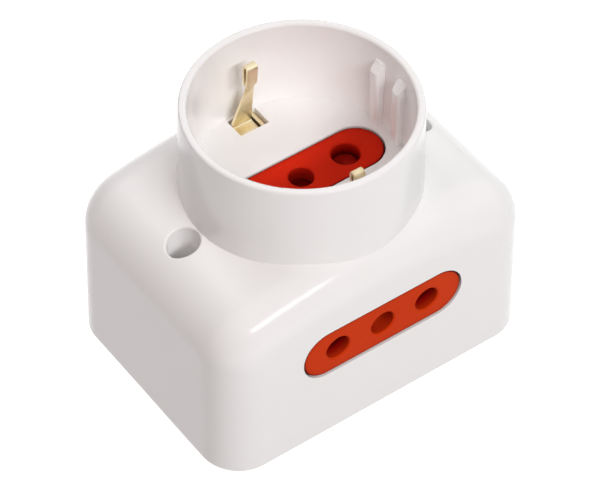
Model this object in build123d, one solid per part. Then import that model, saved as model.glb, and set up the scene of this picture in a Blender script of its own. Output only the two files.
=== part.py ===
from build123d import *
import math
import os

# Socket adapter with a round well on top, a three-hole socket in each long side
# and three plug pins below. Millimetres. The origin is the middle of the plug face,
# X runs along the row of pins, -Y is the front socket and +Z points up the well.

# Body shell, measured at the open underside
body_length = 66.0
body_width = 49.2
crown_height = 37.6
crown_drop = 4.7
end_round = 9.75
side_round = 7.6
end_draft = 0.8
side_draft = 0.6
wall = 1.8

# Round well on top
well_diameter = 39.0
well_depth = 17.4
well_draft = 1.4
collar_wall = 1.45
collar_flare = 0.55
rim_round = 0.5
floor_sink = 1.4
floor_thickness = 1.8

# Pairs of guide ribs inside the well
rib_spacing = 6.2
rib_width = 2.1
rib_depth = 1.4
rib_height = 12.3
rib_slope = 1.7
rib_round = 0.6

# Sockets: three holes in a row behind a coloured insert
pin_pitch = 9.5
side_socket_height = 20.0
side_hole_diameter = 4.8
well_line_hole_diameter = 5.3
well_earth_hole_diameter = 4.6
line_pin_diameter = 4.8
earth_pin_diameter = 4.0
pin_reach = 19.0
insert_height = 10.0
insert_gap = 0.2
insert_sink = 0.2
insert_round = 0.25
hole_chamfer = 0.25
flange_lip = 1.75
flange_thickness = 1.3
seat_gap = 0.05

# Sliding shutter behind each insert, with its return spring
pocket_depth = 2.0
rail_thickness = 1.3
shutter_play = 0.15
shutter_pin_gap = 0.2
shutter_bar_height = 2.5
spring_diameter = 1.3
spring_wire = 0.24
spring_turns = 5
spring_room = 0.2
spring_pocket_length = 12.0
lug_length = 1.1
guide_thickness = 1.0

# Brass contacts and bars
contact_width = 6.0
contact_gap = 3.7
leaf_thickness = 0.45
contact_clearance = 1.44
mouth_flare = 0.6
mouth_length = 1.8
mouth_gap = 0.4
tip_room = 0.3
bar_thickness = 0.55
bar_leg_width = 5.0
bar_leg_offset = 4.0
bar_gap = 0.5
tab_half_width = 2.9

# Earth side clips seen in the well
slot_width = 6.0
slot_inner = 13.75
slot_outer = 18.1
slot_gap = 0.15
shelf_drop = 0.9
shelf_reach = 3.0
shelf_round = 0.4
clip_foot_width = 4.0
clip_neck_width = 1.2
clip_head_width = 2.1
clip_neck_rise = 8.4
clip_head_rise = 9.4
clip_rise = 14.2
clip_lean = 0.8
clip_neck_shift = 0.65
clip_head_shift = 0.25
clip_nose_drop = 3.9
clip_nose_round = 0.7
clip_hook_radius = 0.3
wing_gap = 0.35
wing_drop = 0.2
wing_round = 0.9

# Plug pins below
plug_pitch = 13.0
plug_pin_diameter = 5.0
plug_pin_length = 19.0
plug_pin_tip = 1.1
sleeve_length = 10.0
sleeve_wall = 0.5
collar_diameter = 6.8
collar_height = 1.2
stem_diameter = 2.6
rivet_diameter = 4.2
rivet_height = 0.7
pin_relief = 0.4
pin_relief_depth = 0.3

# Underside cover
cover_thickness = 2.5
cover_gap = 0.1
pin_boss_diameter = 9.0
pin_boss_height = 1.4
barrier_thickness = 1.0
barrier_offset = 5.0
barrier_clearance = 3.0
backing_thickness = 1.8

# Case screws in deep round wells beside the collar
screw_well_diameter = 5.9
screw_collar_gap = 0.2
screw_well_depth = 9.6
screw_well_round = 0.35
screw_wall = 1.2
screw_ledge = 2.0
screw_diameter = 2.9
screw_length = 14.0
screw_head_diameter = 5.4
screw_head_height = 2.0
screw_play = 0.2
screw_boss_diameter = 7.2
cross_width = 0.8
cross_length = 3.0
cross_depth = 1.1

# Stiffening ribs inside the shell, which also stop the cover
stop_rib_thickness = 1.2
stop_rib_depth = 1.6
stop_rib_height = 8.0

# Worked out from the values above
half_length = body_length / 2
half_width = body_width / 2
floor_height = crown_height - floor_sink
rim_height = floor_height + well_depth
well_radius = well_diameter / 2
well_floor_radius = well_radius - well_depth * math.tan(math.radians(well_draft))
collar_top_radius = well_radius + collar_wall
collar_base_radius = collar_top_radius + collar_flare
floor_underside = floor_height - floor_thickness
side_slope = math.tan(math.radians(side_draft))
side_face = half_width - side_slope * side_socket_height - insert_sink

shutter_pad = pin_pitch - line_pin_diameter / 2 - earth_pin_diameter / 2 - shutter_pin_gap
shutter_travel = shutter_pad
shutter_half = pin_pitch + shutter_pad / 2
pocket_half = shutter_half + shutter_travel + 2 * shutter_play
flange_half = pocket_half + rail_thickness
insert_half = flange_half - flange_lip
flange_half_height = insert_height / 2 + 1.6
pocket_half_height = flange_half_height - rail_thickness
spring_pocket_height = spring_diameter + 2 * spring_room
shutter_bar_low = pocket_half_height - shutter_play - shutter_bar_height
spring_line = shutter_bar_low + shutter_bar_height / 2

side_nose = side_face - (half_width - wall - side_slope * (side_socket_height + flange_half_height)) + seat_gap
top_nose = floor_thickness - insert_sink + seat_gap
leaf_offset = contact_gap / 2 + leaf_thickness
screw_x = collar_base_radius + screw_well_diameter / 2 + screw_collar_gap
screw_floor = crown_height - crown_drop * (screw_x / half_length) ** 2 - screw_well_depth
tower_base = screw_floor - screw_ledge
boss_top = cover_thickness + pin_boss_height
clip_foot_line = slot_inner + slot_gap + shelf_reach
stack = flange_thickness + pocket_depth + guide_thickness
side_guide_back = side_face - side_nose - stack
top_guide_back = floor_height - insert_sink - top_nose - stack
top_contact_width = 2 * (side_face - pin_reach - tip_room - leaf_thickness - contact_clearance)
bar_reach = side_guide_back - mouth_gap - mouth_length - bar_gap
bar_tongue_top = top_guide_back - mouth_gap - mouth_length - bar_gap

front_frame = Plane(origin=(0, -side_face, side_socket_height), x_dir=(1, 0, 0), z_dir=(0, -1, 0))
rear_frame = Plane(origin=(0, side_face, side_socket_height), x_dir=(-1, 0, 0), z_dir=(0, 1, 0))
top_frame = Plane(origin=(0, 0, floor_height - insert_sink), x_dir=(1, 0, 0), z_dir=(0, 0, 1))


def block(x0, x1, y0, y1, z0, z1):
    """A box between two corners."""
    corner = (Align.MIN, Align.MIN, Align.MIN)
    return Pos(x0, y0, z0) * Box(x1 - x0, y1 - y0, z1 - z0, align=corner)


def rod(x, y, z0, z1, radius):
    """An upright cylinder between two heights."""
    base = (Align.CENTER, Align.CENTER, Align.MIN)
    return Pos(x, y, z0) * Cylinder(radius, z1 - z0, align=base)


def prism(sketch, z0, z1):
    """A flat sketch on the XY plane stretched between two heights."""
    return Pos(0, 0, z0) * extrude(sketch, z1 - z0)


def crowned_block(inset):
    """The body form, drawn in by inset on every face but the open underside."""
    length = half_length - inset
    width = half_width - inset
    height = crown_height - inset
    top_length = length - math.tan(math.radians(end_draft)) * height
    end_height = height - crown_drop
    with BuildPart() as form:
        with BuildSketch(Plane.XZ) as side:
            with BuildLine():
                Polyline((-top_length, end_height), (-length, 0), (length, 0), (top_length, end_height))
                ThreePointArc((top_length, end_height), (0, height), (-top_length, end_height))
            make_face()
            fillet([v for v in side.vertices() if v.Z > 1 or v.Y > 1], end_round - inset)
        extrude(amount=width, both=True)
    with BuildPart() as drafted:
        with BuildSketch(Plane.YZ):
            with BuildLine():
                over = height * 1.1
                top_width = width - side_slope * over
                Polyline((-width, -1e-6), (width, -1e-6), (top_width, over), (-top_width, over), close=True)
            make_face()
        extrude(amount=body_length, both=True)
    body = form.part & drafted.part
    flanks = [f for f in body.faces() if abs(f.normal_at().Y) > 0.9]
    rims = [e for f in flanks for e in f.edges() if abs(e.center().Z) > 0.05]
    return body.fillet(side_round - inset, rims)


def collar_ring():
    """The round collar above the floor, with its bore and softened rim."""
    with BuildPart() as ring:
        with BuildSketch(Plane.XZ):
            with BuildLine():
                Polyline(
                    (well_floor_radius, floor_height),
                    (collar_base_radius, floor_underside),
                    (collar_top_radius, rim_height),
                    (well_radius, rim_height),
                    close=True,
                )
            make_face()
        revolve(axis=Axis.Z)
    rim = [e for e in ring.part.edges() if abs(e.center().Z - rim_height) < 0.01]
    return ring.part.fillet(rim_round, rim)


def well_ribs():
    """Two pairs of upright guide ribs on the bore, with sloped tops."""
    top = floor_height + rib_height
    inner = well_radius - collar_wall / 2 - rib_depth
    outer = well_radius + collar_wall / 2
    profile = Plane.XZ * make_face(
        Polyline(
            (inner, floor_underside),
            (outer, floor_underside),
            (outer, top + rib_slope),
            (inner + rib_depth, top + rib_slope),
            (inner, top),
            close=True,
        )
    )
    rib = extrude(profile, rib_width / 2, both=True)
    upright = [e for e in rib.edges().filter_by(Axis.Z) if e.center().X < inner + 0.01]
    rib = rib.fillet(rib_round, upright)
    places = [(turn, side) for turn in (0, 180) for side in (-1, 1)]
    return [Rot(0, 0, turn) * Pos(0, side * rib_spacing / 2, 0) * rib for turn, side in places]


def window(frame, depth):
    """The slot-shaped opening that an insert's nose fills."""
    outline = SlotOverall(2 * (insert_half + insert_gap), insert_height + 2 * insert_gap)
    return frame.location * prism(outline, -depth, depth)


def on_well(point):
    """Whether a point lies on the wall of one of the two screw wells."""
    return abs(math.hypot(abs(point.X) - screw_x, point.Y) - screw_well_diameter / 2) < 0.01


def housing():
    """The moulded white shell: open below, with the collar, windows and screw towers."""
    cavity = crowned_block(wall)
    cavity -= rod(0, 0, floor_underside, rim_height, collar_base_radius - wall / 2)
    cavity += rod(0, 0, floor_underside - 2 * wall, floor_underside, well_radius)
    outside = crowned_block(0)
    shell = outside - cavity
    for x in (-screw_x, screw_x):
        shell += outside & rod(x, 0, tower_base, crown_height, screw_well_diameter / 2 + screw_wall)
        shell -= rod(x, 0, screw_floor, crown_height + 1, screw_well_diameter / 2)
        shell -= rod(x, 0, tower_base - 1, screw_floor + 1, screw_diameter / 2 + screw_play)
    above = screw_floor + screw_well_depth / 2
    rims = [e for e in shell.edges() if on_well(e @ 0) and on_well(e @ 0.5) and e.center().Z > above]
    shell = shell.fillet(screw_well_round, rims)
    shell -= rod(0, 0, floor_height, crown_height + 1, well_floor_radius)
    shell += collar_ring()
    shell += rod(0, 0, floor_underside, floor_height, collar_base_radius - wall / 2)
    for rib in well_ribs():
        shell += rib
    for frame in (front_frame, rear_frame):
        shell -= window(frame, 2 * wall)
    shell -= window(top_frame, 2 * floor_thickness)
    for sign in (-1, 1):
        low, high = sorted((sign * slot_inner, sign * slot_outer))
        shell -= block(-slot_width / 2, slot_width / 2, low, high, floor_underside - 1, floor_height + 1)
    for x in (-screw_x, screw_x):
        for sign in (-1, 1):
            outer = sign * (half_width - wall / 2)
            inner = sign * (half_width - wall - stop_rib_depth)
            low, high = sorted((outer, inner))
            half = stop_rib_thickness / 2
            shell += outside & block(x - half, x + half, low, high, cover_thickness, cover_thickness + stop_rib_height)
    return shell


def holes(line_diameter, earth_diameter, depth):
    """Three round holes in a row, cut from above the face down to a depth."""
    cutters = []
    for x in (-pin_pitch, 0, pin_pitch):
        diameter = line_diameter if x else earth_diameter
        cutters.append(rod(x, 0, -depth, 1, diameter / 2))
    return cutters


def socket_insert(nose, line_diameter, earth_diameter):
    """A red insert: slot-shaped face, hidden flange, and a shallow box for the shutter."""
    flange_front = -nose
    flange_back = flange_front - flange_thickness
    back = flange_back - pocket_depth
    piece = prism(SlotOverall(2 * insert_half, insert_height), flange_front, 0)
    piece = piece.fillet(insert_round, [e for e in piece.edges() if e.center().Z > -0.01])
    outline = RectangleRounded(2 * flange_half, 2 * flange_half_height, rail_thickness)
    piece += prism(outline, back, flange_front)
    piece -= prism(Rectangle(2 * pocket_half, 2 * pocket_half_height), back, flange_back)
    lug_end = spring_pocket_length / 2 - shutter_play
    low = spring_line - spring_diameter / 2
    high = spring_line + spring_diameter / 2
    piece += block(lug_end - lug_length, lug_end, low, high, back + shutter_play, flange_back)
    for x in (-pin_pitch, 0, pin_pitch):
        radius = (line_diameter if x else earth_diameter) / 2
        piece -= rod(x, 0, back - 1, 1, radius)
        rim = Pos(x, 0, -hole_chamfer / 2) * Cone(radius, radius + hole_chamfer, hole_chamfer)
        piece -= rim
    return piece


def shutter(nose):
    """A sliding bridge whose two pads close the outer holes; a ramp lets pins push it aside."""
    front = -nose - flange_thickness - shutter_play
    back = front - pocket_depth + 2 * shutter_play
    low = -pocket_half_height + shutter_play
    high = shutter_bar_low + shutter_bar_height
    piece = block(-shutter_half, shutter_half, shutter_bar_low, high, back, front)
    for x in (-pin_pitch, pin_pitch):
        left = x - shutter_pad / 2
        right = x + shutter_pad / 2
        pad = block(left, right, low, shutter_bar_low + 0.01, back, front)
        depth = (front - back) * 0.6
        ramp = Plane.XZ * make_face(
            Polyline((left - 0.1, front + 0.1), (x + 0.4, front + 0.1), (left - 0.1, front - depth), close=True)
        )
        side = line_pin_diameter / 2
        piece += pad - extrude(ramp, side, both=True)
    half = spring_pocket_length / 2
    slot = spring_pocket_height / 2
    piece -= block(-half, half, spring_line - slot, spring_line + slot, back - 1, front + 1)
    return piece


def shutter_spring(nose):
    """A small coil spring in the shutter's slot, against the insert's lug; its wire has six flats."""
    start = -spring_pocket_length / 2 + spring_wire
    end = spring_pocket_length / 2 - shutter_play - lug_length - spring_wire
    depth = -nose - flange_thickness - pocket_depth / 2
    radius = (spring_diameter - spring_wire) / 2
    with BuildPart() as coil:
        with BuildLine() as path:
            Helix(
                pitch=(end - start) / spring_turns,
                height=end - start,
                radius=radius,
                center=(start, spring_line, depth),
                direction=(1, 0, 0),
            )
        with BuildSketch(Plane(origin=path.line @ 0, z_dir=path.line % 0)):
            RegularPolygon(spring_wire / 2, 6)
        sweep(is_frenet=True)
    return coil.part


def guide_plate(nose, line_diameter, earth_diameter):
    """The thin plate that closes the shutter box and guides the pins to the contacts."""
    front = -nose - flange_thickness - pocket_depth
    outline = RectangleRounded(2 * flange_half, 2 * flange_half_height, rail_thickness)
    plate = prism(outline, front - guide_thickness, front)
    for cutter in holes(line_diameter, earth_diameter, -front + guide_thickness + 1):
        plate -= cutter
    return plate


def contact(nose, width):
    """A folded brass clip: two leaves with flared mouths, joined by a web past the pin's tip."""
    mouth = -nose - flange_thickness - pocket_depth - guide_thickness - mouth_gap
    web = -pin_reach - tip_room
    inner = contact_gap / 2
    outer = leaf_offset
    half = [
        (0, web),
        (inner, web),
        (inner, mouth - mouth_length),
        (inner + mouth_flare, mouth),
        (outer + mouth_flare, mouth),
        (outer, mouth - mouth_length),
        (outer, web - leaf_thickness),
        (0, web - leaf_thickness),
    ]
    profile = Plane.XZ * make_face(Polyline(*half, close=True))
    leaf = extrude(profile, width / 2, both=True)
    return leaf + mirror(leaf, Plane.YZ)


def pole_bar():
    """The line bar: an upright plate behind the contacts, a leg and a riveted foot tab."""
    inner = -pin_pitch - leaf_offset
    outer = inner - bar_thickness
    low = side_socket_height - contact_width / 2
    high = side_socket_height + contact_width / 2
    tongue = top_contact_width / 2
    leg_far = bar_leg_offset + bar_leg_width
    bar = block(outer, inner, -bar_reach, bar_reach, low, high)
    bar += block(outer, inner, -tongue, tongue, low, bar_tongue_top)
    bar += block(outer, inner, bar_leg_offset, leg_far, boss_top, high)
    tab_low = min(-plug_pitch, inner) - tab_half_width
    bar += block(tab_low, inner, -tab_half_width, leg_far, boss_top, boss_top + bar_thickness)
    bar -= rod(-plug_pitch, 0, boss_top - 1, boss_top + 1, stem_diameter / 2)
    return bar


def clip_finger(sign):
    """One earth side clip: a shelf in the floor's slot, a leaning finger and a hooked nose."""
    half = bar_thickness / 2
    rise = slot_inner + slot_gap + half
    shelf = floor_height - shelf_drop
    foot = clip_foot_line
    finger = foot - clip_lean
    z_neck = floor_height + clip_neck_rise
    z_head = floor_height + clip_head_rise
    z_top = floor_height + clip_rise - clip_hook_radius - bar_thickness
    nose_line = finger - 2 * clip_hook_radius - bar_thickness
    low = side_socket_height + flange_half_height + bar_gap
    with BuildPart() as strip:
        with BuildSketch(Plane.YZ):
            with BuildLine() as path:
                FilletPolyline((rise, low), (rise, shelf), (foot, shelf), (finger, z_neck), radius=shelf_round + half)
                Line((finger, z_neck), (finger, z_top))
                CenterArc((finger - clip_hook_radius - half, z_top), clip_hook_radius + half, 0, 180)
                Line((nose_line, z_top), (nose_line + half, z_top - clip_nose_drop))
            trace(path.wires()[0], bar_thickness)
        extrude(amount=slot_width, both=True)
    inner = slot_width / 2 - slot_gap
    left = -inner
    neck = (clip_neck_shift - clip_neck_width / 2, clip_neck_shift + clip_neck_width / 2)
    head = (clip_head_shift - clip_head_width / 2, clip_head_shift + clip_head_width / 2)
    outline = Plane.XZ * make_face(
        Polyline(
            (left, low - 1),
            (inner, low - 1),
            (inner, shelf - bar_thickness),
            (left + clip_foot_width, shelf - bar_thickness),
            (left + clip_foot_width, floor_height),
            (neck[1], z_neck),
            (head[1], z_head),
            (head[1], rim_height),
            (head[0], rim_height),
            (head[0], z_head),
            (neck[0], z_neck),
            (left, floor_height),
            close=True,
        )
    )
    finger_part = strip.part & extrude(outline, body_width, both=True)
    nose = [e for e in finger_part.edges() if e.center().Y < finger - 2 * half and e.center().Z > z_head]
    corners = [e for e in nose if e.length < 1.01 * bar_thickness and e.center().Z < z_top - clip_nose_drop + half]
    finger_part = finger_part.fillet(clip_nose_round, corners)
    return finger_part if sign > 0 else mirror(finger_part, Plane.XZ)


def wing():
    """The top of the web, rolled over towards the shelf and filling the slot beside it."""
    half = bar_thickness / 2
    low = side_socket_height + flange_half_height + bar_gap
    level = floor_height - wing_drop - half
    edge = slot_gap - slot_width / 2 + clip_foot_width + wing_gap
    with BuildPart() as lip:
        with BuildSketch(Plane.XZ):
            with BuildLine() as path:
                FilletPolyline(
                    (leaf_offset + half, low),
                    (leaf_offset + half, level),
                    (edge, level),
                    radius=wing_round,
                )
            trace(path.wires()[0], bar_thickness)
        extrude(amount=slot_outer - slot_inner - 2 * slot_gap, both=False)
    return lip.part


def earth_bracket():
    """The earth bar: upright web between the contacts, its ends folded into the two side clips."""
    inner = leaf_offset
    outer = inner + bar_thickness
    low = side_socket_height - contact_width / 2
    high = side_socket_height + contact_width / 2
    leg_far = bar_leg_offset + bar_leg_width
    piece = block(inner, outer, -bar_reach, bar_reach, low, high)
    riser_near = flange_half_height + bar_gap
    arm_low = side_socket_height + flange_half_height + bar_gap
    arm_high = floor_underside - bar_gap
    wing_near = slot_inner + slot_gap
    wing_far = slot_outer - slot_gap
    for sign in (-1, 1):
        y0, y1 = sorted((sign * riser_near, sign * bar_reach))
        piece += block(inner, outer, y0, y1, low, arm_high)
        y0, y1 = sorted((sign * riser_near, sign * wing_far))
        piece += block(inner, outer, y0, y1, arm_low, arm_high)
        piece += Pos(0, wing_far if sign > 0 else -wing_near, 0) * wing()
        piece += clip_finger(sign)
    piece += block(inner, outer, bar_leg_offset, leg_far, boss_top, high)
    piece += block(-tab_half_width, outer, -tab_half_width, leg_far, boss_top, boss_top + bar_thickness)
    piece -= rod(0, 0, boss_top - 1, boss_top + 1, stem_diameter / 2)
    return piece


def plug_pin(sleeved):
    """A turned brass pin: rounded tip, locking collar in the cover, stem riveted over the bar."""
    radius = plug_pin_diameter / 2
    pin = rod(0, 0, -plug_pin_length, 0, radius)
    tip = [e for e in pin.edges() if e.center().Z < -plug_pin_length + 0.01]
    pin = pin.fillet(plug_pin_tip, tip)
    if sleeved:
        pin -= rod(0, 0, -sleeve_length, 1, radius) - rod(0, 0, -sleeve_length, 1, radius - sleeve_wall)
    pin += rod(0, 0, 0, boss_top, radius - sleeve_wall)
    middle = boss_top / 2
    pin += rod(0, 0, middle - collar_height / 2, middle + collar_height / 2, collar_diameter / 2)
    head_base = boss_top + bar_thickness
    pin += rod(0, 0, boss_top, head_base, stem_diameter / 2)
    pin += rod(0, 0, head_base, head_base + rivet_height, rivet_diameter / 2)
    return pin


def pin_sleeve():
    """The moulded insulating sleeve on the root of a live pin."""
    radius = plug_pin_diameter / 2
    return rod(0, 0, -sleeve_length, 0, radius) - rod(0, 0, -sleeve_length, 0, radius - sleeve_wall)


def base_cover(pins):
    """The inset underside plate, moulded round the pins, with walls that back the inserts."""
    slab = block(-half_length, half_length, -half_width, half_width, 0, cover_thickness)
    cover = crowned_block(wall + cover_gap) & slab
    for x in (-plug_pitch, 0, plug_pitch):
        cover += rod(x, 0, 0, boss_top, pin_boss_diameter / 2)
    backing_reach = side_guide_back - seat_gap
    barrier_height = top_guide_back - barrier_clearance
    side_top = side_socket_height + flange_half_height - 1
    for sign in (-1, 1):
        x0, x1 = sorted((sign * flange_half, sign * (flange_half - backing_thickness)))
        cover += block(x0, x1, -backing_reach, backing_reach, 0, side_top)
        half = flange_half_height - rail_thickness
        cover += block(x0, x1, -half, half, 0, top_guide_back - seat_gap)
        x0 = sign * barrier_offset - barrier_thickness / 2
        cover += block(x0, x0 + barrier_thickness, -bar_reach, bar_reach, 0, barrier_height)
        boss = rod(sign * screw_x, 0, 0, tower_base - seat_gap, screw_boss_diameter / 2)
        pilot_low = screw_floor - screw_length - 1
        boss -= rod(sign * screw_x, 0, pilot_low, tower_base, screw_diameter / 2 + seat_gap)
        cover += boss
    for pin in pins:
        cover -= pin
    for x in (-plug_pitch, 0, plug_pitch):
        cover -= rod(x, 0, -1, pin_relief_depth, plug_pin_diameter / 2 + pin_relief)
    return cover


def case_screw(x):
    """A pan-head screw with a cross recess."""
    head_top = screw_floor + screw_head_height
    screw = rod(x, 0, screw_floor - screw_length, screw_floor, screw_diameter / 2)
    head = rod(x, 0, screw_floor, head_top, screw_head_diameter / 2)
    crown = [e for e in head.edges() if e.center().Z > head_top - 0.01]
    screw += head.fillet(screw_head_height * 0.4, crown)
    for size in ((cross_length, cross_width), (cross_width, cross_length)):
        screw -= Pos(x, 0, head_top) * Box(size[0], size[1], 2 * cross_depth)
    return screw


def save(name, shape):
    """Write one piece, or a group of like pieces, as parts/NAME.step."""
    export_step(shape, os.path.join("parts", name + ".step"))


os.makedirs("parts", exist_ok=True)

save("housing", housing())

line_pin = Pos(-plug_pitch, 0, 0) * plug_pin(True)
earth_pin = plug_pin(False)
neutral_pin = Pos(plug_pitch, 0, 0) * plug_pin(True)
save("line_pin", line_pin)
save("earth_pin", earth_pin)
save("neutral_pin", neutral_pin)
save("line_pin_sleeve", Pos(-plug_pitch, 0, 0) * pin_sleeve())
save("neutral_pin_sleeve", Pos(plug_pitch, 0, 0) * pin_sleeve())
save("base_cover", base_cover([line_pin, earth_pin, neutral_pin]))

sockets = [
    ("front", front_frame, side_nose, side_hole_diameter, side_hole_diameter, contact_width),
    ("rear", rear_frame, side_nose, side_hole_diameter, side_hole_diameter, contact_width),
    ("top", top_frame, top_nose, well_line_hole_diameter, well_earth_hole_diameter, top_contact_width),
]
for name, frame, nose, line_diameter, earth_diameter, width in sockets:
    where = frame.location
    save(name + "_socket_insert", where * socket_insert(nose, line_diameter, earth_diameter))
    save(name + "_shutter", where * shutter(nose))
    save(name + "_shutter_spring", where * shutter_spring(nose))
    save(name + "_guide_plate", where * guide_plate(nose, line_diameter, earth_diameter))
    line_side = -1 if frame.x_dir.X > 0 else 1
    save(name + "_line_contact", where * Pos(line_side * pin_pitch, 0, 0) * contact(nose, width))
    save(name + "_earth_contact", where * contact(nose, width))
    save(name + "_neutral_contact", where * Pos(-line_side * pin_pitch, 0, 0) * contact(nose, width))

save("line_bar", pole_bar())
save("neutral_bar", Rot(0, 0, 180) * pole_bar())
save("earth_bracket", earth_bracket())
save("case_screws", Compound(children=[case_screw(-screw_x), case_screw(screw_x)]))
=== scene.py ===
import math

import bmesh
import bpy
from mathutils import Matrix, Vector


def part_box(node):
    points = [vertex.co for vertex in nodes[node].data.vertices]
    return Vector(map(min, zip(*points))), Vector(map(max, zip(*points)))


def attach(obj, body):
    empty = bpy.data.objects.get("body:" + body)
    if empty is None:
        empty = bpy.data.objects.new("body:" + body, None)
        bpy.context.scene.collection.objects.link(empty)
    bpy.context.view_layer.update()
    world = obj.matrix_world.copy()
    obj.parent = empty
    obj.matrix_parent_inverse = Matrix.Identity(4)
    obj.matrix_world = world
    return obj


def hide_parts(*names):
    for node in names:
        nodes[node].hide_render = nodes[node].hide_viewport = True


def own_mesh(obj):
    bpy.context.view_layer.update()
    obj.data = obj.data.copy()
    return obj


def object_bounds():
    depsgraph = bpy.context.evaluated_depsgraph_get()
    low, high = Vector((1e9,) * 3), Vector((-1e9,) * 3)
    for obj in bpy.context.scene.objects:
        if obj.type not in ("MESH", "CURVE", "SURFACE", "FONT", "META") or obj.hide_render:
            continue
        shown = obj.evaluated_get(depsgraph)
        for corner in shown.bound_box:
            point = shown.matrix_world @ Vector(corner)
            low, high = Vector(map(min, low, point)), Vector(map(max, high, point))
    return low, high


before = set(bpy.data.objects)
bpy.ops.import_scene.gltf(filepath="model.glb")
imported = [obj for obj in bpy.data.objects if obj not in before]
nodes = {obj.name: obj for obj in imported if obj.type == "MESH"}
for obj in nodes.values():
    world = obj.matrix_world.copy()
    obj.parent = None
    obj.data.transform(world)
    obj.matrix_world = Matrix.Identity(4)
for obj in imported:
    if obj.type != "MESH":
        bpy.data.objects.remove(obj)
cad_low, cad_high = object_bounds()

scene = bpy.context.scene

# The viewpoint: above the left end, looking down into the well past the near rim.
# A long lens from half a metre away, so that the upright edges hardly converge.
view_turn = math.radians(36.173)
view_height = math.radians(47.562)
view_roll = math.radians(0.504)
view_distance = 0.55516
view_aim = Vector((-0.004258, -0.005795, 0.0250))
lens_mm = 191.8
sensor_mm = 36

toward_camera = Vector((
    -math.sin(view_turn) * math.cos(view_height),
    -math.cos(view_turn) * math.cos(view_height),
    math.sin(view_height),
))
level_right = Vector((math.cos(view_turn), -math.sin(view_turn), 0))
level_up = toward_camera.cross(level_right)
camera_right = level_right * math.cos(view_roll) + level_up * math.sin(view_roll)
camera_up = level_up * math.cos(view_roll) - level_right * math.sin(view_roll)
camera_turn = Matrix((camera_right, camera_up, toward_camera)).transposed().to_4x4()
camera_place = Matrix.Translation(view_aim + toward_camera * view_distance)
lens = bpy.data.cameras.new("studio_camera")
lens.lens = lens_mm
lens.sensor_width = sensor_mm
lens.clip_start = 0.01
lens.clip_end = 20
camera = bpy.data.objects.new("studio_camera", lens)
camera.matrix_world = camera_place @ camera_turn
scene.collection.objects.link(camera)
scene.camera = camera


# The case shell: one injection moulding in white ABS with a polished mould face.
# The collar, the well with its guide ribs and the crowned body are all this one piece,
# and its skin shows a very fine orange peel and faint flow shading in the white.
def linear(hex_colour):
    """An sRGB hex colour as linear red, green, blue and alpha."""
    channels = [int(hex_colour[i:i + 2], 16) / 255 for i in (1, 3, 5)]
    return [c / 12.92 if c <= 0.04045 else ((c + 0.055) / 1.055) ** 2.4 for c in channels] + [1.0]


def add(tree, kind, inputs, **settings):
    """Adds one node with its settings, and sets or links each named input."""
    node = tree.nodes.new(kind)
    for name, value in settings.items():
        setattr(node, name, value)
    for name, value in inputs.items():
        if isinstance(value, bpy.types.NodeSocket):
            tree.links.new(value, node.inputs[name])
        else:
            node.inputs[name].default_value = value
    return node


def new_material(name):
    """An empty node material and its tree."""
    material = bpy.data.materials.new(name)
    material.use_nodes = True
    material.node_tree.nodes.clear()
    return material, material.node_tree


def dress(names, material):
    """Gives CAD nodes their finish."""
    for name in names:
        nodes[name].data.materials.clear()
        nodes[name].data.materials.append(material)


def painted_crevice_shade(tree, colour, deep, reach_mm, open_share):
    """Painted shade: a colour that turns into a darker one where other surfaces close the place
    in, as shade would fall there.

    The first open share and below it get the deep colour, the second and above it keep theirs.
    """
    closed = add(
        tree, "ShaderNodeAmbientOcclusion", {"Distance": reach_mm / 1000}, samples=12,
    )
    share = add(
        tree, "ShaderNodeMapRange",
        {"Value": closed.outputs["AO"], "From Min": open_share[0], "From Max": open_share[1],
         "To Min": 1.0, "To Max": 0.0},
        interpolation_type="SMOOTHSTEP",
    )
    mixed = add(
        tree, "ShaderNodeMix",
        {"Factor": share.outputs["Result"], "A": colour, "B": linear(deep)},
        data_type="RGBA",
    )
    return mixed.outputs["Result"]


def moulded(name, light, dark, flow_mm, peel_mm, peel_height_mm, roughness,
            specular=0.5, crevices=()):
    """Moulded plastic: faint colour flow, fine orange peel, a gloss that varies a little, and
    painted shade in the crevices listed.
    """
    plastic_ior = 1.53
    material, tree = new_material(name)
    place = add(tree, "ShaderNodeTexCoord", {}).outputs["Object"]
    flow = add(
        tree, "ShaderNodeTexNoise", {"Vector": place, "Scale": 1000 / flow_mm, "Detail": 3.0},
    )
    tint = add(
        tree, "ShaderNodeMix",
        {"Factor": flow.outputs["Fac"], "A": linear(light), "B": linear(dark)},
        data_type="RGBA",
    )
    peel = add(
        tree, "ShaderNodeTexNoise", {"Vector": place, "Scale": 1000 / peel_mm, "Detail": 2.0},
    )
    gloss = add(
        tree, "ShaderNodeMapRange",
        {"Value": flow.outputs["Fac"], "From Min": 0.3, "From Max": 0.7,
         "To Min": roughness[0], "To Max": roughness[1]},
    )
    colour = tint.outputs["Result"]
    # Painted shade: each crevice entry darkens the colour where occlusion is high.
    for deep, reach_mm, open_share in crevices:
        colour = painted_crevice_shade(tree, colour, deep, reach_mm, open_share)
    skin = add(
        tree, "ShaderNodeBump",
        {"Height": peel.outputs["Fac"], "Strength": 1.0, "Distance": peel_height_mm / 1000},
    )
    surface = add(
        tree, "ShaderNodeBsdfPrincipled",
        {"Base Color": colour, "Roughness": gloss.outputs["Result"],
         "Normal": skin.outputs["Normal"], "IOR": plastic_ior, "Specular IOR Level": specular},
    )
    add(tree, "ShaderNodeOutputMaterial", {"Surface": surface.outputs["BSDF"]})
    return material


# The dark red-brown in the shell's narrow gaps round the inserts and slots is painted shade.
shell_plastic = moulded(
    "polished_white_abs", "#F4F4F4", "#F0F0EF", flow_mm=22, peel_mm=1.4, peel_height_mm=0.002,
    roughness=(0.13, 0.19), crevices=[("#3A120C", 0.25, (0.08, 0.32))],
)
dress(["housing"], shell_plastic)

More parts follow.
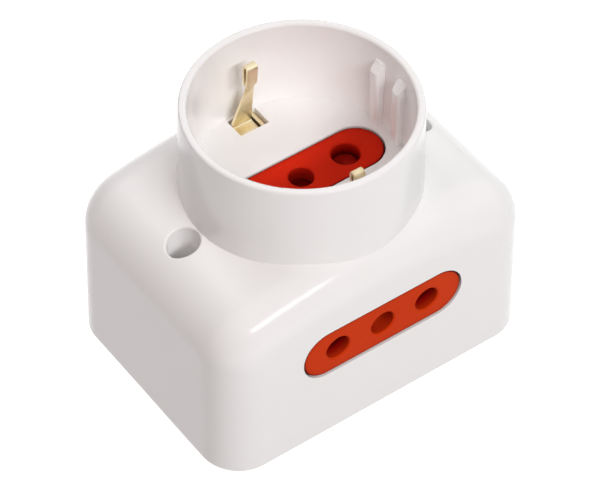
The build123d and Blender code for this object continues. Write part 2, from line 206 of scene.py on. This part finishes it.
# The underside cover: white ABS like the shell, from a plainer mould, so less glossy.
# It is let into the open underside, and the plug pins are moulded in.
cover_plastic = moulded(
    "satin_white_abs", "#EDE9E7", "#E8E3E1", flow_mm=18, peel_mm=0.6, peel_height_mm=0.006,
    roughness=(0.36, 0.46),
)
dress(["base_cover"], cover_plastic)

# The three socket inserts: red urea mouldings pushed into their windows from inside.
# The material is harder and flatter than the shell, with a satin gloss; deep red shade is painted
# into the holes and a near-black red shade along the edges.
# The insert in the well gets a deeper, more crimson copy of the same red: painted shade for the
# well it lies in.
# Painted shade: deep red down the bores and near-black red in the gaps round each insert.
painted_hole_shade = [("#960606", 2.5, (0.80, 0.985)), ("#5C0806", 1.2, (0.82, 0.985))]
side_insert_plastic = moulded(
    "satin_orange_red_urea", "#D83F10", "#CC390E", flow_mm=14, peel_mm=0.5,
    peel_height_mm=0.004, roughness=(0.30, 0.40), specular=0.02, crevices=painted_hole_shade,
)
dress(["front_socket_insert", "rear_socket_insert"], side_insert_plastic)
well_insert_plastic = moulded(
    "satin_red_urea_shaded_copy", "#D62B14", "#CA2611", flow_mm=14, peel_mm=0.5,
    peel_height_mm=0.004, roughness=(0.30, 0.40), specular=0.02, crevices=painted_hole_shade,
)
dress(["top_socket_insert"], well_insert_plastic)

# The shutters and guide plates behind the inserts: red nylon, duller than the inserts,
# seen only through the holes. Each of the three sockets has one of each.
sockets = ("front", "rear", "top")
hidden_red = moulded(
    "dull_red_nylon", "#C41C10", "#B0180E", flow_mm=8, peel_mm=0.4, peel_height_mm=0.006,
    roughness=(0.48, 0.6), specular=0.25,
)
dress([socket + "_shutter" for socket in sockets], hidden_red)
dress([socket + "_guide_plate" for socket in sockets], hidden_red)


# Contacts, bars and the two earth clips in the well: rolled brass strip, folded cold.
# Rolling leaves fine lines along the strip and air leaves brown tarnish in patches.
def worked_metal(name, bright, tarnish, line_mm, line_height_mm, roughness, stretch):
    """Metal with the tool's lines along one way, and duller patches of tarnish."""
    patch_mm = 3.0
    most_tarnish = 0.75
    material, tree = new_material(name)
    place = add(tree, "ShaderNodeTexCoord", {}).outputs["Object"]
    along = add(tree, "ShaderNodeMapping", {"Vector": place, "Scale": stretch})
    lines = add(
        tree, "ShaderNodeTexNoise",
        {"Vector": along.outputs["Vector"], "Scale": 1000 / line_mm, "Detail": 3.0},
    )
    patches = add(
        tree, "ShaderNodeTexNoise", {"Vector": place, "Scale": 1000 / patch_mm, "Detail": 4.0},
    )
    spread = add(
        tree, "ShaderNodeMapRange",
        {"Value": patches.outputs["Fac"], "From Min": 0.48, "From Max": 0.72,
         "To Min": 0.0, "To Max": most_tarnish},
    )
    tint = add(
        tree, "ShaderNodeMix",
        {"Factor": spread.outputs["Result"], "A": linear(bright), "B": linear(tarnish)},
        data_type="RGBA",
    )
    dullness = add(
        tree, "ShaderNodeMapRange",
        {"Value": patches.outputs["Fac"], "From Min": 0.35, "From Max": 0.7,
         "To Min": roughness[0], "To Max": roughness[1]},
    )
    skin = add(
        tree, "ShaderNodeBump",
        {"Height": lines.outputs["Fac"], "Strength": 1.0, "Distance": line_height_mm / 1000},
    )
    surface = add(
        tree, "ShaderNodeBsdfPrincipled",
        {"Base Color": tint.outputs["Result"], "Metallic": 1.0,
         "Roughness": dullness.outputs["Result"], "Normal": skin.outputs["Normal"]},
    )
    add(tree, "ShaderNodeOutputMaterial", {"Surface": surface.outputs["BSDF"]})
    return material


strip_brass = worked_metal(
    "rolled_brass_strip", "#F0E2BE", "#CDB077", line_mm=0.25, line_height_mm=0.004,
    roughness=(0.34, 0.50), stretch=(1.0, 1.0, 0.08),
)
dress(["earth_bracket", "line_bar", "neutral_bar"], strip_brass)
contact_brass = worked_metal(
    "folded_contact_brass", "#DDB862", "#8E6426", line_mm=0.2, line_height_mm=0.004,
    roughness=(0.2, 0.4), stretch=(1.0, 0.1, 1.0),
)
for pole in ("_line_contact", "_earth_contact", "_neutral_contact"):
    dress([socket + pole for socket in sockets], contact_brass)

# The plug pins: turned from brass rod, so their finish runs in fine rings round the pin.
# The live pins carry a dark nylon sleeve over the root.
pin_brass = worked_metal(
    "turned_brass", "#E2C77C", "#CDAC62", line_mm=0.12, line_height_mm=0.003,
    roughness=(0.18, 0.3), stretch=(0.02, 0.02, 1.0),
)
dress(["line_pin", "earth_pin", "neutral_pin"], pin_brass)
sleeve_nylon = moulded(
    "dark_grey_nylon", "#2A2A2C", "#222224", flow_mm=6, peel_mm=0.3, peel_height_mm=0.005,
    roughness=(0.42, 0.55),
)
dress(["line_pin_sleeve", "neutral_pin_sleeve"], sleeve_nylon)

# The case screws: zinc-plated steel, deep in the round wells beside the collar.
# They hold the underside cover to the shell.
zinc_steel = worked_metal(
    "zinc_plated_steel", "#C9CCCE", "#8F9396", line_mm=0.2, line_height_mm=0.003,
    roughness=(0.25, 0.42), stretch=(1.0, 1.0, 1.0),
)
dress(["case_screws"], zinc_steel)


# The shutters' return springs: fine round wire, coiled open with one closed turn at each end.
# Each sits in its shutter's slot against the insert's lug. The real spring shortens as the shutter
# slides, towards +X in the front and top sockets and towards -X in the rear one, which is turned
# round; here each is wound once at its rest length and held to the case.
def coil_spring(node):
    """Winds one spring into the room of its CAD node, with the lug's end at one side in X."""
    low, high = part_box(node)
    middle = (low + high) / 2
    wire_radius = 0.00012
    wire_sides = 10
    coil_radius = (high.z - low.z) / 2 - wire_radius
    open_turns = 13
    turn_steps = 28
    closed_pitch = 2.05 * wire_radius
    room = high.x - low.x - 2 * wire_radius
    open_pitch = (room - 2 * closed_pitch) / open_turns
    coil = bmesh.new()
    bmesh.ops.create_circle(
        coil, cap_ends=True, segments=wire_sides, radius=wire_radius,
        matrix=Matrix.Translation((low.x + wire_radius, middle.y, middle.z + coil_radius))
        @ Matrix.Rotation(math.radians(90), 4, "X"),
    )
    last = coil.verts[:] + coil.edges[:] + coil.faces[:]
    for turns, pitch in ((1, closed_pitch), (open_turns, open_pitch), (1, closed_pitch)):
        swept = bmesh.ops.spin(
            coil, geom=last, cent=(low.x, middle.y, middle.z), axis=(1, 0, 0),
            angle=math.tau * turns, steps=turn_steps * turns, dvec=(pitch / turn_steps, 0, 0),
        )
        last = swept["geom_last"]
    bmesh.ops.recalc_face_normals(coil, faces=coil.faces)
    mesh = bpy.data.meshes.new(node)
    coil.to_mesh(mesh)
    coil.free()
    mesh.materials.append(spring_steel)
    mesh.shade_smooth()
    spring = bpy.data.objects.new(node + "_coil", mesh)
    scene.collection.objects.link(spring)
    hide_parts(node)
    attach(spring, "case")
    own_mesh(spring)


spring_steel = worked_metal(
    "oiled_spring_steel", "#A9ABAD", "#77797C", line_mm=0.15, line_height_mm=0.001,
    roughness=(0.22, 0.34), stretch=(1.0, 1.0, 1.0),
)
coil_spring("front_shutter_spring")
coil_spring("rear_shutter_spring")
coil_spring("top_shutter_spring")


# The studio: a pale floor just under the tips of the pins and a dim room all round. Both show
# pure white to the camera and in reflections. Six soft lamps light the object, and the white
# well needs many bounces of light to fill it.
def in_sight(tree):
    """One for a ray from the camera or from a glossy skin, and zero for any other ray."""
    rays = add(tree, "ShaderNodeLightPath", {})
    sight = add(
        tree, "ShaderNodeMath",
        {0: rays.outputs["Is Camera Ray"], 1: rays.outputs["Is Glossy Ray"]},
        operation="MAXIMUM",
    )
    return sight.outputs["Value"]


scene.view_settings.view_transform = "Standard"
scene.cycles.max_bounces = 16
scene.cycles.diffuse_bounces = 12

floor_gap = 0.0005
floor_size = 6.0
floor_glow = 0.8
floor_mesh = bpy.data.meshes.new("studio_floor")
sheet = bmesh.new()
bmesh.ops.create_grid(sheet, x_segments=1, y_segments=1, size=floor_size / 2)
bmesh.ops.translate(sheet, verts=sheet.verts, vec=(0, 0, cad_low.z - floor_gap))
sheet.to_mesh(floor_mesh)
sheet.free()
floor = bpy.data.objects.new("studio_floor", floor_mesh)
scene.collection.objects.link(floor)
floor_paint, tree = new_material("pale_studio_floor")
matt = add(tree, "ShaderNodeBsdfDiffuse", {"Color": linear("#CBCBCB")})
glow = add(tree, "ShaderNodeEmission", {"Color": linear("#FFFFFF"), "Strength": floor_glow})
both = add(
    tree, "ShaderNodeAddShader", {0: matt.outputs["BSDF"], 1: glow.outputs["Emission"]},
)
shown = add(
    tree, "ShaderNodeMixShader",
    {0: in_sight(tree), 1: matt.outputs["BSDF"], 2: both.outputs["Shader"]},
)
add(tree, "ShaderNodeOutputMaterial", {"Surface": shown.outputs["Shader"]})
floor_mesh.materials.append(floor_paint)

room_level = 0.08
room = bpy.data.worlds.new("white_room")
scene.world = room
room.use_nodes = True
tree = room.node_tree
tree.nodes.clear()
strength = add(
    tree, "ShaderNodeMapRange", {"Value": in_sight(tree), "To Min": room_level, "To Max": 1.0},
)
backdrop = add(
    tree, "ShaderNodeBackground",
    {"Color": linear("#FFFFFF"), "Strength": strength.outputs["Result"]},
)
add(tree, "ShaderNodeOutputWorld", {"Surface": backdrop.outputs["Background"]})

lamps_aim = Vector((0, 0, 0.03))


def softbox(name, tint, width, height, watts, place, in_gloss=False):
    """A soft lamp at a place, turned towards the object. Glossy skins mirror it or don't."""
    lamp = bpy.data.lights.new(name, "AREA")
    lamp.shape = "RECTANGLE"
    lamp.color = linear(tint)[:3]
    lamp.size = width
    lamp.size_y = height
    lamp.energy = watts
    box = bpy.data.objects.new(name, lamp)
    box.location = place
    box.rotation_mode = "QUATERNION"
    box.rotation_quaternion = (Vector(place) - lamps_aim).to_track_quat("Z", "Y")
    box.visible_glossy = in_gloss
    scene.collection.objects.link(box)


warm = "#FFE2DE"
white = "#FFFFFF"
softbox("highlight_softbox", white, 0.56, 0.17, 2.0, (0.0, -0.82, 0.74), in_gloss=True)
softbox("key_softbox", white, 0.66, 0.10, 5.4, (0.05, -0.82, 0.74))
softbox("fill_softbox", warm, 0.50, 0.40, 1.5, (-0.40, -0.62, 0.85))
softbox("left_softbox", warm, 0.50, 0.40, 1.15, (-0.65, 0.0, 0.85))
softbox("back_softbox", white, 0.50, 0.50, 3.3, (-0.10, 0.75, 0.75))
softbox("side_softbox", white, 0.50, 0.40, 2.8, (0.68, 0.40, 0.68))
